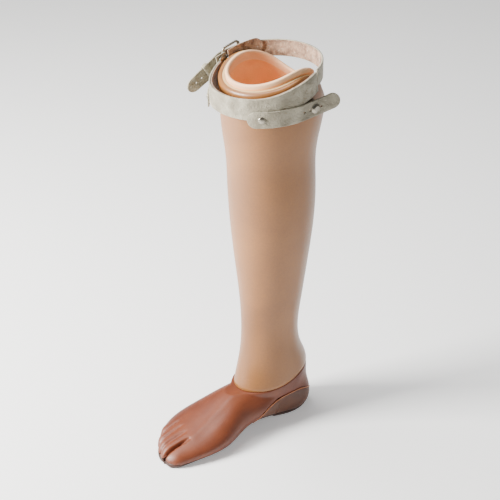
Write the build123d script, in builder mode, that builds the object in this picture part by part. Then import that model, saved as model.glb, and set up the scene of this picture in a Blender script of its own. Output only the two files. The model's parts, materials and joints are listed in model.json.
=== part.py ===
# Below-knee prosthetic leg, right side: a laminated shank with a hard socket and a soft liner,
# a cushion-heel foot bolted to a wooden ankle block, and a leather suspension cuff.
# Millimetres. +Z is up, the toes point to -Y and the inner (medial) side is +X.
# The origin is on the floor, on the axis of the foot bolt.
from build123d import *
from math import cos, radians, sin, sqrt
import os

os.makedirs("parts", exist_ok=True)

# ---- driving dimensions -------------------------------------------------------------------
WIDE = 120.0            # half length of every cut that runs right through the leg

SHELL_WALL = 3.0        # outer laminate
SOCKET_WALL = 3.0       # inner hard socket
LINER_WALL = 5.0        # closed-cell foam liner
LINER_GAP = 0.35        # liner to socket, all round
ANKLE_TOP = 112.0       # top of the wooden ankle block
LIP_FOOT = 428.0        # below this height the outer laminate parts from the socket

UP = (Align.CENTER, Align.CENTER, Align.MIN)     # a solid stands on its plane
DOWN = (Align.CENTER, Align.CENTER, Align.MAX)   # a solid hangs from its plane

# Ovals of the outer laminate: height, half width, half depth, centre x, centre y.
SHANK = [
    (40, 37.0, 54.5, 3.0, 1.5), (63, 37.0, 51.5, 2.0, 3.5), (77, 36.5, 48.0, 1.0, 5.2),
    (93, 35.0, 42.2, 0.5, 3.6), (115, 33.0, 39.0, 0.0, 2.5), (160, 36.0, 40.8, 0.0, 4.2),
    (218, 43.0, 47.6, 0.0, 5.6), (274, 49.0, 53.8, 0.0, 6.4), (328, 51.5, 56.0, 0.0, 5.6),
    (368, 52.3, 56.6, 0.0, 4.4), (395, 55.6, 60.8, 0.0, 5.0), (428, 59.0, 65.0, 0.0, 7.0),
    (456, 60.0, 59.5, 0.0, 2.0), (495, 60.5, 58.0, 0.0, 1.0),
]
# Ovals of the liner's outside, widening all the way up so that it lifts straight out.
LINER = [
    (284, 24.0, 26.5, 0.0, 5.0), (290, 31.0, 33.5, 0.0, 5.0), (301, 37.0, 39.5, 0.0, 5.0),
    (322, 41.0, 43.5, 0.0, 5.0), (352, 43.8, 46.0, 0.0, 5.0), (384, 46.2, 48.5, 0.0, 4.5),
    (428, 50.2, 51.5, 0.0, 4.0), (445, 51.2, 52.4, 0, 3.6), (462, 52, 53.2, 0, 3.3),
    (480, 52.6, 53.9, 0, 3.1), (500, 53, 54.4, 0, 3),
]
PAD_TOP = 302.0         # distal end pad, lying in the bottom of the liner

# Side lines, as (y, z): the brim of the shell and of the liner, low behind the knee.
BRIM = [(-75, 459), (-47, 463), (-24, 470), (8, 478), (30, 470), (52, 447), (80, 430)]
LINER_BRIM = [(-75, 464), (-47, 468), (-24, 477), (8, 486), (31, 477), (53, 453), (80, 436)]
# Joint between shank and foot: one arc, level in front and rising at the heel cord.
JOINT = [(-75, 50), (0, 54.5), (75, 73)]

# ---- foot ---------------------------------------------------------------------------------
HEEL = [(-4, 31.0, 38.0, 7.0, 18.0), (15, 33.0, 40.0, 7.0, 17.5), (32, 34.5, 45.0, 5.5, 11.0)]
# Forefoot sections: y, centre x, half width, height of the top.
FOREFOOT = [
    (-15, 4.0, 33.0, 62.0), (-55, 3.0, 36.0, 52.5), (-90, 3.5, 42.5, 43.5), (-113, 3.5, 46.5, 34.5),
    (-136, 4.5, 43.5, 27.5), (-158, 8.5, 34.0, 22.5), (-173, 13.0, 23.5, 18.0), (-182, 18.0, 9.0, 12.0),
]
SECTION_RISE = 0.38     # height of a forefoot section's centre, as a share of its top
HEEL_TREAD = -14.0      # the flat heel tread ends here
BALL = (-82.0, -135.0)  # the flat under the ball of the foot
ARCH_RISE = 8.0         # height of the arch between them
TOE_SPRING = 5.0        # height of the underside at the toes
SOLE = 5.0              # thickness of the tread layer
CUSHION = [(66, 6), (8, 37), (-58, 2)]   # upper side line of the heel cushion
KEEL_HALF = 22.0
KEEL = [
    (36, 90), (36, 45), (2, 41), (-26, 36), (-46, 17), (-96, 14), (-98, 24), (-62, 36), (-36, 47), (-36, 90),
]
BELTING = [(-52, 14), (-96, 10.5), (-150, 10.5), (-150, 12.5), (-96, 12.5), (-52, 16)]
BELTING_HALF = 18.0

# ---- foot bolt ----------------------------------------------------------------------------
BOLT_R = 5.0
HEAD_R, HEAD_HEIGHT = 8.0, 8.0
HEAD_BASE = 29.0        # underside of the bolt head, the depth of the access hole
ACCESS_R, HEAD_POCKET_R = 10.5, 10.2
BOSS_R, BOSS_BASE = 15.0, 22.0
WASHER_R, WASHER = 10.0, 1.6
BOLT_TOP = 105.0
NUT_FLAT, NUT_HEIGHT = 17.0, 8.0
NUT_BASE = 94.0
POCKET_R = 12.0

# ---- cuff ---------------------------------------------------------------------------------
RING_Y = -3.0           # centre of the leather ring
RING_IN, RING_MID, RING_OUT = 63.5, 64.8, 67.0
BAND_TOP = [(-75, 459), (-50, 462), (-3, 476), (44, 488), (75, 491)]
BAND_LOW = [(-75, 434), (-50, 435), (-3, 450), (44, 461), (75, 464)]
BAND_ENDS = (-80.0, 112.0)      # ring angles, 0 in front and positive towards the inner side
STRAP_START, STRAP_END = 113.0, 250.0
TONGUE_END = -120.0
PIVOT_Y, PIVOT_Z = 14.0, 441.0  # cuff studs, the axis the cuff swings about
LEATHER = 2.2
BILLET_W = 20.0
BILLET_RIVET = 46.0             # ring angle of the billet rivets
BILLET_RIVET_Z = 437.0
BILLET_END = (75.5, 46.0)       # plan of the free end, which springs away from the leg
BILLET_LINE = [(-48.3, BILLET_RIVET_Z), (36.0, 442.8)]
BILLET_HOLES = [(-3.0, 440.1), (5.5, 440.7), (22.5, 441.9)]
NECK_R, NECK_GAP = 3.4, 0.05
STUD_R = 9.0
STUD_FACE = 57.4                # the stud's foot is let into the laminate from here
STUD_SEAT, STUD_HEAD = 9.5, 12.0    # the leather lies between these heights on the stud
HOLE_R = 1.7
RIVET_R = 2.0

STRAP_LINE = [(-73.9, -11.5), (-78.0, -64.0)]    # plan of the strap beyond the ring
STRAP_BEND = 25.0
STRAP_TOP = [(75, 491), (44, 488), (15, 484), (-9, 478)]
STRAP_LOW = [(-4.5, 457.5), (15, 462), (44, 465), (75, 468)]
TAIL_END = [(-59.6, 445.2), (-62.2, 433.4), (-50.4, 430.8)]
TAIL_HOLES = [(-32.6, 452.5), (-40.2, 447.6), (-47.8, 442.7)]
TONGUE = [(-24, 467), (20, 478)]
TONGUE_W = 20.0

BUCKLE_X, BUCKLE_Y, BUCKLE_Z = -68.7, 1.5, 471.0
BUCKLE_TILT = 14.0
FLAT_HEAD_R, HEAD_BED = 3.4, 0.9     # heads of the two rivets behind the buckle
DOME_R, DOME_TOP_R, DOME_HEIGHT = 4.2, 2.6, 1.5     # outer heads of the billet rivets
BAR_OFFSET = 11.5               # heel bar and roller bar lie this far either side of the middle
FRAME_HALF = 15.5
WIRE_R = 1.5
ROLLER_R, ROLLER_HALF, ROLLER_GAP = 2.3, 12.0, 0.06
PRONG_HALF, EYE_R, EYE_GAP = 1.1, 2.8, 0.06
CHAFE_R, CHAFE_HALF, CHAFE_REACH = 2.55, 10.0, 14.0
PRONG_SLOT = (20.0, 5.0, -9.0)  # length, height and middle of the slot that the prong passes
KEEPER_AT, KEEPER_LONG = (-75.3, -30.0, 454.2), 8.0
KEEPER_IN, KEEPER_OUT = (3.8, 22.6), (6.4, 25.4)


def ovals(table, grow=0.0, drop=0.0):
    """Level ovals of a table, each grown by one amount; drop lowers the first one."""
    faces = []
    for index, (z, half_x, half_y, x, y) in enumerate(table):
        level = z - drop if index == 0 else z
        with BuildSketch(Plane.XY.offset(level)) as oval:
            with Locations((x, y)):
                Ellipse(half_x + grow, half_y + grow)
        faces.append(oval.sketch)
    return faces


def side_face(low, high):
    """Face between two side lines that both run from front to back."""
    with BuildSketch(Plane.YZ) as side:
        with BuildLine():
            under = Spline(*low)
            over = Spline(*high)
            Line(under @ 0, over @ 0)
            Line(under @ 1, over @ 1)
        make_face()
    return side.sketch


def above(line, top=700.0):
    """Everything above a side line."""
    with BuildSketch(Plane.YZ) as side:
        with BuildLine():
            low = Spline(*line)
            Polyline(low @ 1, ((low @ 1).X, top), ((low @ 0).X, top), low @ 0)
        make_face()
    return side.sketch


def joint_face(side):
    """Everything above (+1) or below (-1) the joint between shank and foot."""
    level = 400.0 * side
    with BuildSketch(Plane.YZ) as cut:
        with BuildLine():
            arc = ThreePointArc(*JOINT)
            Polyline(arc @ 1, (JOINT[2][0], level), (JOINT[0][0], level), arc @ 0)
        make_face()
    return cut.sketch


def save(builder, name):
    builder.part.label = name
    export_step(builder.part, f"parts/{name}.step")


def ring_point(angle, radius):
    """Point of the leather ring in plan."""
    turn = radians(angle)
    return (radius * sin(turn), RING_Y - radius * cos(turn))


def sector(start, end, inner, outer):
    """Piece of the leather ring in plan, between two ring angles."""
    middle = (start + end) / 2
    with BuildSketch(Plane.XY.offset(400)) as plan:
        with BuildLine():
            inside = ThreePointArc(*[ring_point(a, inner) for a in (start, middle, end)])
            outside = ThreePointArc(*[ring_point(a, outer) for a in (start, middle, end)])
            Line(inside @ 0, outside @ 0)
            Line(inside @ 1, outside @ 1)
        make_face()
    return plan.sketch


def radial_plane(angle, radius, z):
    """Plane whose normal points straight out of the ring."""
    x, y = ring_point(angle, radius)
    turn = radians(angle)
    return Plane(origin=(x, y, z), x_dir=(cos(turn), sin(turn), 0), z_dir=(sin(turn), -cos(turn), 0))


# ---- shank and socket ---------------------------------------------------------------------
SOCKET_GROW = LINER_GAP + SOCKET_WALL
CAVITY = [(z, a - SHELL_WALL, b - SHELL_WALL, x, y) for z, a, b, x, y in SHANK if z < LIP_FOOT]
CAVITY += [(z, a + SOCKET_GROW, b + SOCKET_GROW, x, y) for z, a, b, x, y in LINER if z == LIP_FOOT]

with BuildPart() as shank_shell:
    loft(ovals(SHANK))
    loft(ovals(CAVITY), mode=Mode.SUBTRACT)
    loft(ovals(LINER, SOCKET_GROW, SOCKET_GROW), mode=Mode.SUBTRACT)
    extrude(above(BRIM), amount=WIDE, both=True, mode=Mode.SUBTRACT)
    extrude(joint_face(-1), amount=WIDE, both=True, mode=Mode.SUBTRACT)
    for side in (1, -1):
        with BuildSketch(Plane.YZ.offset(side * STUD_FACE)):
            with Locations((PIVOT_Y, PIVOT_Z)):
                Circle(STUD_R)
        extrude(amount=side * WIDE, mode=Mode.SUBTRACT)
save(shank_shell, "shank_shell")

with BuildPart() as socket_shell:
    loft(ovals(LINER, SOCKET_GROW, SOCKET_GROW))
    extrude(above(BRIM), amount=WIDE, both=True, mode=Mode.SUBTRACT)
    loft(ovals(LINER, LINER_GAP, LINER_GAP), mode=Mode.SUBTRACT)
save(socket_shell, "socket_shell")

with BuildPart() as foam_core:
    loft(ovals(CAVITY))
    loft(ovals(LINER, SOCKET_GROW, SOCKET_GROW), mode=Mode.SUBTRACT)
    with Locations((0, 0, ANKLE_TOP)):
        Box(2 * WIDE, 2 * WIDE, 2 * WIDE, align=DOWN, mode=Mode.SUBTRACT)
save(foam_core, "foam_core")

with BuildPart() as ankle_block:
    loft(ovals(CAVITY))
    with Locations((0, 0, ANKLE_TOP)):
        Box(2 * WIDE, 2 * WIDE, 600, align=UP, mode=Mode.SUBTRACT)
    extrude(joint_face(-1), amount=WIDE, both=True, mode=Mode.SUBTRACT)
    Cylinder(BOLT_R + 0.3, ANKLE_TOP, align=UP, mode=Mode.SUBTRACT)
    with Locations((0, 0, NUT_BASE - WASHER)):
        Cylinder(POCKET_R, WIDE, align=UP, mode=Mode.SUBTRACT)
save(ankle_block, "ankle_block")

# ---- liner --------------------------------------------------------------------------------
with BuildPart() as soft_liner:
    loft(ovals(LINER))
    loft(ovals(LINER, -LINER_WALL, -LINER_WALL), mode=Mode.SUBTRACT)
    extrude(above(LINER_BRIM), amount=WIDE, both=True, mode=Mode.SUBTRACT)
save(soft_liner, "soft_liner")

with BuildPart() as distal_pad:
    loft(ovals(LINER, -LINER_WALL, -LINER_WALL))
    with Locations((0, 0, PAD_TOP)):
        Box(2 * WIDE, 2 * WIDE, 600, align=UP, mode=Mode.SUBTRACT)
save(distal_pad, "distal_pad")


# ---- foot ---------------------------------------------------------------------------------
def underside(lift):
    """Side line of the underside, heel to toe, raised by lift, closed far below the floor."""
    with BuildSketch(Plane.YZ) as side:
        with BuildLine():
            heel = Line((90, lift), (HEEL_TREAD, lift))
            arch = ThreePointArc(heel @ 1, ((HEEL_TREAD + BALL[0]) / 2, lift + ARCH_RISE), (BALL[0], lift))
            ball = Line(arch @ 1, (BALL[1], lift))
            toes = Spline(ball @ 1, (-185, lift + TOE_SPRING), tangents=((-1, 0), (-1, 0.3)))
            Polyline(toes @ 1, (-200, lift + TOE_SPRING), (-200, -60), (90, -60), heel @ 0)
        make_face()
    return side.sketch


def forefoot_sections():
    faces = []
    for y, x, half, top in FOREFOOT:
        middle = SECTION_RISE * top
        with BuildSketch(Plane.XZ.offset(-y)) as section:
            with Locations((x, middle)):
                Ellipse(half, top - middle)
        faces.append(section.sketch)
    return faces


def cushion_face():
    """Everything below the heel cushion's upper side line."""
    with BuildSketch(Plane.YZ) as side:
        with BuildLine():
            arc = ThreePointArc(*CUSHION)
            Polyline(arc @ 1, (CUSHION[2][0], -60), (CUSHION[0][0], -60), arc @ 0)
        make_face()
    return side.sketch


with BuildPart() as foot_form:
    loft(ovals(HEEL + SHANK[:4]))
    loft(forefoot_sections())
    extrude(underside(0), amount=WIDE, both=True, mode=Mode.SUBTRACT)
    extrude(joint_face(1), amount=WIDE, both=True, mode=Mode.SUBTRACT)

with BuildPart() as foot_keel:
    with BuildSketch(Plane.YZ):
        with BuildLine():
            Polyline(*KEEL, close=True)
        make_face()
    extrude(amount=KEEL_HALF, both=True)
    with Locations((0, 0, BOSS_BASE)):
        Cylinder(BOSS_R, 45 - BOSS_BASE, align=UP)
    extrude(joint_face(1), amount=WIDE, both=True, mode=Mode.SUBTRACT)
    keel_form = foot_keel.part
    Cylinder(BOLT_R + 0.3, WIDE, mode=Mode.SUBTRACT)
    Cylinder(HEAD_POCKET_R, HEAD_BASE + HEAD_HEIGHT + 2 * WASHER, align=UP, mode=Mode.SUBTRACT)
    Cylinder(ACCESS_R, HEAD_BASE, align=UP, mode=Mode.SUBTRACT)
save(foot_keel, "foot_keel")

with BuildPart() as keel_belting:
    with BuildSketch(Plane.YZ):
        with BuildLine():
            Polyline(*BELTING, close=True)
        make_face()
    extrude(amount=BELTING_HALF, both=True)
save(keel_belting, "keel_belting")

with BuildPart() as sole:
    add(foot_form.part)
    extrude(underside(SOLE), amount=WIDE, both=True, mode=Mode.INTERSECT)
    Cylinder(ACCESS_R, WIDE, mode=Mode.SUBTRACT)
save(sole, "sole")

with BuildPart() as heel_cushion:
    add(foot_form.part)
    extrude(cushion_face(), amount=WIDE, both=True, mode=Mode.INTERSECT)
    extrude(underside(SOLE), amount=WIDE, both=True, mode=Mode.SUBTRACT)
    add(keel_form, mode=Mode.SUBTRACT)
    Cylinder(ACCESS_R, WIDE, mode=Mode.SUBTRACT)
save(heel_cushion, "heel_cushion")

with BuildPart() as foot_body:
    add(foot_form.part)
    extrude(cushion_face(), amount=WIDE, both=True, mode=Mode.SUBTRACT)
    extrude(underside(SOLE), amount=WIDE, both=True, mode=Mode.SUBTRACT)
    add(keel_form, mode=Mode.SUBTRACT)
    add(keel_belting.part, mode=Mode.SUBTRACT)
save(foot_body, "foot_body")

# ---- foot bolt, its washer and nut ----------------------------------------------------------
HEAD_TOP = HEAD_BASE + HEAD_HEIGHT

with BuildPart() as foot_bolt:
    with Locations((0, 0, HEAD_BASE)):
        Cylinder(HEAD_R, HEAD_HEIGHT, align=UP)
        Cylinder(BOLT_R, BOLT_TOP - HEAD_BASE, align=UP)
    with BuildSketch(Plane.XY.offset(HEAD_BASE)):
        RegularPolygon(HEAD_R / 2, 6, major_radius=False)
    extrude(amount=HEAD_HEIGHT / 2, mode=Mode.SUBTRACT)
    chamfer(foot_bolt.faces().sort_by(Axis.Z)[-1].edges(), 1.0)
save(foot_bolt, "foot_bolt")

for name, level in (("foot_bolt_washer", HEAD_TOP), ("foot_bolt_lock_washer", HEAD_TOP + WASHER),
                    ("ankle_washer", NUT_BASE - WASHER)):
    with BuildPart() as washer:
        with Locations((0, 0, level)):
            Cylinder(WASHER_R, WASHER, align=UP)
            Cylinder(BOLT_R + 0.2, WASHER, align=UP, mode=Mode.SUBTRACT)
    save(washer, name)

with BuildPart() as ankle_nut:
    with BuildSketch(Plane.XY.offset(NUT_BASE)):
        RegularPolygon(NUT_FLAT / 2, 6, major_radius=False)
        Circle(BOLT_R, mode=Mode.SUBTRACT)
    extrude(amount=NUT_HEIGHT)
save(ankle_nut, "ankle_nut")


# ---- cuff studs -----------------------------------------------------------------------------
for side, name in ((1, "medial_stud"), (-1, "lateral_stud")):
    with BuildPart(Plane(origin=(side * STUD_FACE, PIVOT_Y, PIVOT_Z), z_dir=(side, 0, 0))) as cuff_stud:
        Cylinder(STUD_R, 2.6, align=UP)
        with Locations((0, 0, 2.6)):
            Cone(STUD_R - 1.5, 6.0, STUD_SEAT - 2.6, align=UP)
        with Locations((0, 0, STUD_SEAT)):
            Cylinder(NECK_R, STUD_HEAD - STUD_SEAT, align=UP)
        with Locations((0, 0, STUD_HEAD)):
            Cone(6.0, 3.6, 2.6, align=UP)
    save(cuff_stud, name)


# ---- leather ring: band, lining, closure strap and tongue -----------------------------------
def ring_piece(start, end, inner, outer, low=BAND_LOW, top=BAND_TOP):
    with BuildPart() as piece:
        extrude(sector(start, end, inner, outer), amount=200)
        extrude(side_face(low, top), amount=WIDE, both=True, mode=Mode.INTERSECT)
    return piece.part


def rivet_bore(radius):
    """Radial rods through the ring at the two billet rivets."""
    with BuildPart() as rods:
        for side in (1, -1):
            with BuildSketch(radial_plane(side * BILLET_RIVET, 55, BILLET_RIVET_Z)):
                Circle(radius)
            extrude(amount=25)
    return rods.part


def side_rods(places, radius, x_from=-56.0, x_to=-90.0):
    """Rods along X through the outer side, one at each (y, z)."""
    with BuildPart() as rods:
        with BuildSketch(Plane.YZ.offset(x_from)):
            with Locations(*places):
                Circle(radius)
        extrude(amount=x_to - x_from)
    return rods.part


billet_rods = rivet_bore(RIVET_R)
buckle_plane = Plane(
    origin=(BUCKLE_X, BUCKLE_Y, BUCKLE_Z), z_dir=(-1, 0, 0),
    x_dir=(0, cos(radians(BUCKLE_TILT)), sin(radians(BUCKLE_TILT))),
)
roller_plane = Plane(origin=buckle_plane.from_local_coords((BAR_OFFSET, 0, 0)), z_dir=buckle_plane.y_dir)
BUCKLE_RIVETS = [buckle_plane.from_local_coords((-20.0, y, 0)) for y in (-5.5, 5.5)]
buckle_rods = side_rods([(p.Y, p.Z) for p in BUCKLE_RIVETS], RIVET_R)

# Each rivet: shank, outer head on the chafe and inner head bedded in the lining.
with BuildPart() as buckle_rivets:
    for point in BUCKLE_RIVETS:
        inner = -sqrt(RING_IN ** 2 - (point.Y - RING_Y) ** 2) - HEAD_BED
        outer = BUCKLE_X + WIRE_R
        outer_head = (outer, outer - HEAD_BED, FLAT_HEAD_R)
        inner_head = (inner, inner + HEAD_BED, FLAT_HEAD_R)
        for start, end, radius in ((outer, inner, RIVET_R), outer_head, inner_head):
            with BuildSketch(Plane.YZ.offset(start)):
                with Locations((point.Y, point.Z)):
                    Circle(radius)
            extrude(amount=end - start)
save(buckle_rivets, "buckle_rivets")

with BuildPart() as cuff_band:
    add(ring_piece(*BAND_ENDS, RING_MID, RING_OUT))
    add(billet_rods, mode=Mode.SUBTRACT)
    add(buckle_rivets.part, mode=Mode.SUBTRACT)
save(cuff_band, "cuff_band")

with BuildPart() as cuff_lining:
    add(ring_piece(*BAND_ENDS, RING_IN, RING_MID))
    add(billet_rods, mode=Mode.SUBTRACT)
    add(buckle_rivets.part, mode=Mode.SUBTRACT)
save(cuff_lining, "cuff_lining")

with BuildPart() as closure_strap:
    with BuildSketch(Plane.XY.offset(400)):
        with BuildLine():
            radius = (RING_MID + RING_OUT) / 2
            around = ThreePointArc(*[ring_point(a, radius) for a in (STRAP_START, 180, STRAP_END)])
            FilletPolyline(around @ 1, *STRAP_LINE, radius=STRAP_BEND)
            offset(amount=LEATHER / 2, side=Side.BOTH)
        make_face()
    extrude(amount=200)
    with BuildSketch(Plane.YZ):
        with BuildLine():
            top = Spline(*STRAP_TOP)
            low = Spline(*STRAP_LOW)
            Line(top @ 1, TAIL_END[0])
            ThreePointArc(*TAIL_END)
            Line(TAIL_END[2], low @ 0)
            Line(low @ 1, top @ 0)
        make_face()
    extrude(amount=WIDE, both=True, mode=Mode.INTERSECT)
    with BuildSketch(buckle_plane.offset(-10)):
        with Locations((PRONG_SLOT[2], 0)):
            SlotOverall(PRONG_SLOT[0], PRONG_SLOT[1])
    extrude(amount=30, mode=Mode.SUBTRACT)
    add(side_rods(TAIL_HOLES, HOLE_R), mode=Mode.SUBTRACT)
    # The roller presses a shallow hollow in the leather.
    with BuildSketch(roller_plane):
        Circle(ROLLER_R + ROLLER_GAP)
    extrude(amount=ROLLER_HALF + ROLLER_GAP, both=True, mode=Mode.SUBTRACT)
save(closure_strap, "closure_strap")


def middle(line):
    """Middle point of a two-point line."""
    return tuple((a + b) / 2 for a, b in zip(*line))


with BuildPart() as chafe_tongue:
    extrude(sector(BAND_ENDS[0], TONGUE_END - 4, RING_IN, RING_MID), amount=200)
    with BuildSketch(Plane.YZ):
        SlotCenterPoint(middle(TONGUE), TONGUE[1], TONGUE_W)
    extrude(amount=WIDE, both=True, mode=Mode.INTERSECT)
    add(buckle_rivets.part, mode=Mode.SUBTRACT)
save(chafe_tongue, "chafe_tongue")

# ---- billets and their rivets ---------------------------------------------------------------
for side, name in ((1, "medial_billet"), (-1, "lateral_billet")):
    with BuildPart() as billet:
        with BuildSketch(Plane.XY.offset(400)):
            with BuildLine():
                radius = RING_OUT + LEATHER / 2
                curve = [ring_point(angle, radius) for angle in (33, 62, 90)]
                around = ThreePointArc(*[(side * x, y) for x, y in curve])
                along = Line(around @ 1, (side * radius, PIVOT_Y + 5))
                TangentArc(along @ 1, (side * BILLET_END[0], BILLET_END[1]), tangent=(0, 1))
                offset(amount=LEATHER / 2, side=Side.BOTH)
            make_face()
        extrude(amount=100)
        with BuildSketch(Plane.YZ):
            SlotCenterPoint(middle(BILLET_LINE), BILLET_LINE[1], BILLET_W)
            with Locations((PIVOT_Y, PIVOT_Z)):
                Circle(NECK_R + NECK_GAP, mode=Mode.SUBTRACT)
            with Locations(*BILLET_HOLES):
                Circle(HOLE_R, mode=Mode.SUBTRACT)
        extrude(amount=WIDE, both=True, mode=Mode.INTERSECT)
        add(billet_rods, mode=Mode.SUBTRACT)
    save(billet, name)

for side, name in ((1, "medial_billet_rivet"), (-1, "lateral_billet_rivet")):
    with BuildPart(radial_plane(side * BILLET_RIVET, RING_IN, BILLET_RIVET_Z)) as rivet:
        height = RING_OUT - RING_IN + LEATHER
        Cylinder(RIVET_R, height, align=UP)
        with Locations((0, 0, height + 0.1)):
            Cone(DOME_R, DOME_TOP_R, DOME_HEIGHT, align=UP)
            Cylinder(RIVET_R, 0.1, align=DOWN)
        with Locations((0, 0, -0.2)):
            Cylinder(DOME_R, HEAD_BED, align=DOWN)
            Cylinder(RIVET_R, 0.2, align=UP)
    save(rivet, name)

# ---- buckle ---------------------------------------------------------------------------------
# In the buckle's plane x runs back along the strap and z points away from the leg.
with BuildPart() as buckle_frame:
    with BuildSketch(buckle_plane.offset(-WIRE_R)):
        RectangleRounded(2 * (BAR_OFFSET + WIRE_R), 2 * FRAME_HALF, 4)
        Rectangle(2 * (BAR_OFFSET + WIRE_R), 2 * (ROLLER_HALF + 0.4), mode=Mode.SUBTRACT)
        Rectangle(2 * (BAR_OFFSET - WIRE_R), 2 * (FRAME_HALF - 2 * WIRE_R), mode=Mode.SUBTRACT)
    extrude(amount=2 * WIRE_R)
    for end in (-1, 1):
        with BuildSketch(Plane(origin=buckle_plane.from_local_coords((end * BAR_OFFSET, 0, 0)),
                               z_dir=buckle_plane.y_dir)):
            Circle(WIRE_R)
        extrude(amount=FRAME_HALF - WIRE_R, both=True)
save(buckle_frame, "buckle_frame")

with BuildPart() as buckle_roller:
    with BuildSketch(roller_plane):
        Circle(ROLLER_R)
        Circle(WIRE_R + ROLLER_GAP, mode=Mode.SUBTRACT)
    extrude(amount=ROLLER_HALF, both=True)
save(buckle_roller, "buckle_roller")

# The prong and the chafe loop are drawn from the side: x along the strap, y away from the leg.
edge_plane = Plane(origin=buckle_plane.origin, x_dir=buckle_plane.x_dir, z_dir=-buckle_plane.y_dir)
HEEL_BAR = (-BAR_OFFSET, 0)

with BuildPart() as buckle_prong:
    with BuildSketch(edge_plane):
        with Locations(HEEL_BAR):
            Circle(EYE_R)
        with BuildLine():
            Polyline((-10.6, 1.0), (13.4, 2.75), (14.4, 4.2), (12.6, 5.0), (-10.0, 3.2), close=True)
        make_face()
        with Locations(HEEL_BAR):
            Circle(WIRE_R + EYE_GAP, mode=Mode.SUBTRACT)
    extrude(amount=PRONG_HALF, both=True)
save(buckle_prong, "buckle_prong")

with BuildPart() as buckle_chafe:
    with BuildSketch(edge_plane):
        with Locations(HEEL_BAR):
            Circle(CHAFE_R)
        with Locations((-BAR_OFFSET - CHAFE_REACH / 2, -(CHAFE_R + WIRE_R) / 2)):
            Rectangle(CHAFE_REACH, CHAFE_R - WIRE_R)
        with Locations(HEEL_BAR):
            Circle(WIRE_R, mode=Mode.SUBTRACT)
    extrude(amount=CHAFE_HALF, both=True)
    with Locations(edge_plane.location):
        with Locations((-BAR_OFFSET, 0, 0)):
            Box(3 * CHAFE_R, 3 * CHAFE_R, 2 * PRONG_HALF + 1.2, mode=Mode.SUBTRACT)
    add(buckle_rods, mode=Mode.SUBTRACT)
    add(closure_strap.part, mode=Mode.SUBTRACT)
save(buckle_chafe, "buckle_chafe")

tail_slope = (TAIL_HOLES[2][0] - TAIL_HOLES[0][0], TAIL_HOLES[2][1] - TAIL_HOLES[0][1])
with BuildPart() as keeper_loop:
    keeper_plane = Plane(origin=KEEPER_AT, x_dir=(-1, 0, 0), z_dir=(0, *tail_slope))
    with BuildSketch(keeper_plane.offset(-KEEPER_LONG / 2)):
        RectangleRounded(*KEEPER_OUT, 2.0)
        RectangleRounded(*KEEPER_IN, 0.8, mode=Mode.SUBTRACT)
    extrude(amount=KEEPER_LONG)
save(keeper_loop, "keeper_loop")
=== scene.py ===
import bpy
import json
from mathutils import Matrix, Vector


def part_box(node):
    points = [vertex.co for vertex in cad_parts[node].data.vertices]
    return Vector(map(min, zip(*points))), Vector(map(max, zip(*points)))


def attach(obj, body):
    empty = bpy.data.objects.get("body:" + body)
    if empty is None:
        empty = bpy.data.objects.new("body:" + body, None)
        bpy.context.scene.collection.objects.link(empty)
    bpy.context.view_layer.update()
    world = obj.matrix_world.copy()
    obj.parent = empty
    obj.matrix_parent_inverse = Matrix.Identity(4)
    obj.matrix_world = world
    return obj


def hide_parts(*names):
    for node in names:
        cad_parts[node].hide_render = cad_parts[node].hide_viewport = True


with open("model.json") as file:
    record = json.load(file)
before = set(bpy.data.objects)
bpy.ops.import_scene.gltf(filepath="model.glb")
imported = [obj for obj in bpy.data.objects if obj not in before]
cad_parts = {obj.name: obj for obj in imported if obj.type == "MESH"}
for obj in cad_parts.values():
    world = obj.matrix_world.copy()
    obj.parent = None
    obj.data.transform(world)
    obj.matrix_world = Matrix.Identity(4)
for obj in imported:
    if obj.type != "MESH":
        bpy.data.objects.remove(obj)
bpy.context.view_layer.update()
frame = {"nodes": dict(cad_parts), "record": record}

# Looks of a below-knee prosthetic leg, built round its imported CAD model.
# Metres, +Z up, toes to -Y, inner (medial) side +X. MM turns millimetres into metres.
import json
import math

import bmesh
import bpy
import numpy as np
from mathutils import Vector
from mathutils.bvhtree import BVHTree

MM = 0.001

# Leather ring: centre, middle radius of each layer, and height lines as (y, z).
RING_Y = -3.0
BAND_R, LINING_R, STRAP_R, BILLET_R = 65.9, 64.15, 65.9, 68.1
BAND_TOP = [(-75, 459), (-50, 462), (-3, 476), (44, 488), (75, 491)]
BAND_LOW = [(-75, 434), (-50, 435), (-3, 450), (44, 461), (75, 464)]
BAND_START, BAND_END = -80, 112         # degrees, 0 in front and positive towards the inner side
STATION = 1.5                           # degrees between stations round the ring
LEATHER, SUEDE = 2.2, 1.3               # thickness
STUD_Y, STUD_Z = 14, 441                # axis of the two studs
STRAP_TOP = [(-9, 478), (15, 484), (44, 488), (75, 491)]
STRAP_LOW = [(-9, 456), (15, 462), (44, 465), (75, 468)]

# Arcs through three (y, z) points: the line between shank and foot, and the heel cushion's edge.
JOINT = [(-75, 50), (0, 54.5), (75, 73)]
CUSHION = [(66, 6), (8, 37), (-58, 2)]


# ---- mesh helpers ---------------------------------------------------------------------------
def mesh_object(name, points, faces, smooth=True):
    """Object from points in millimetres."""
    mesh = bpy.data.meshes.new(name)
    mesh.from_pydata([tuple(float(c) * MM for c in p) for p in points], [], faces)
    mesh.validate()
    bm = bmesh.new()
    bm.from_mesh(mesh)
    bmesh.ops.recalc_face_normals(bm, faces=bm.faces)
    bm.to_mesh(mesh)
    bm.free()
    if smooth:
        mesh.shade_smooth()
    obj = bpy.data.objects.new(name, mesh)
    bpy.context.collection.objects.link(obj)
    return obj


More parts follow.
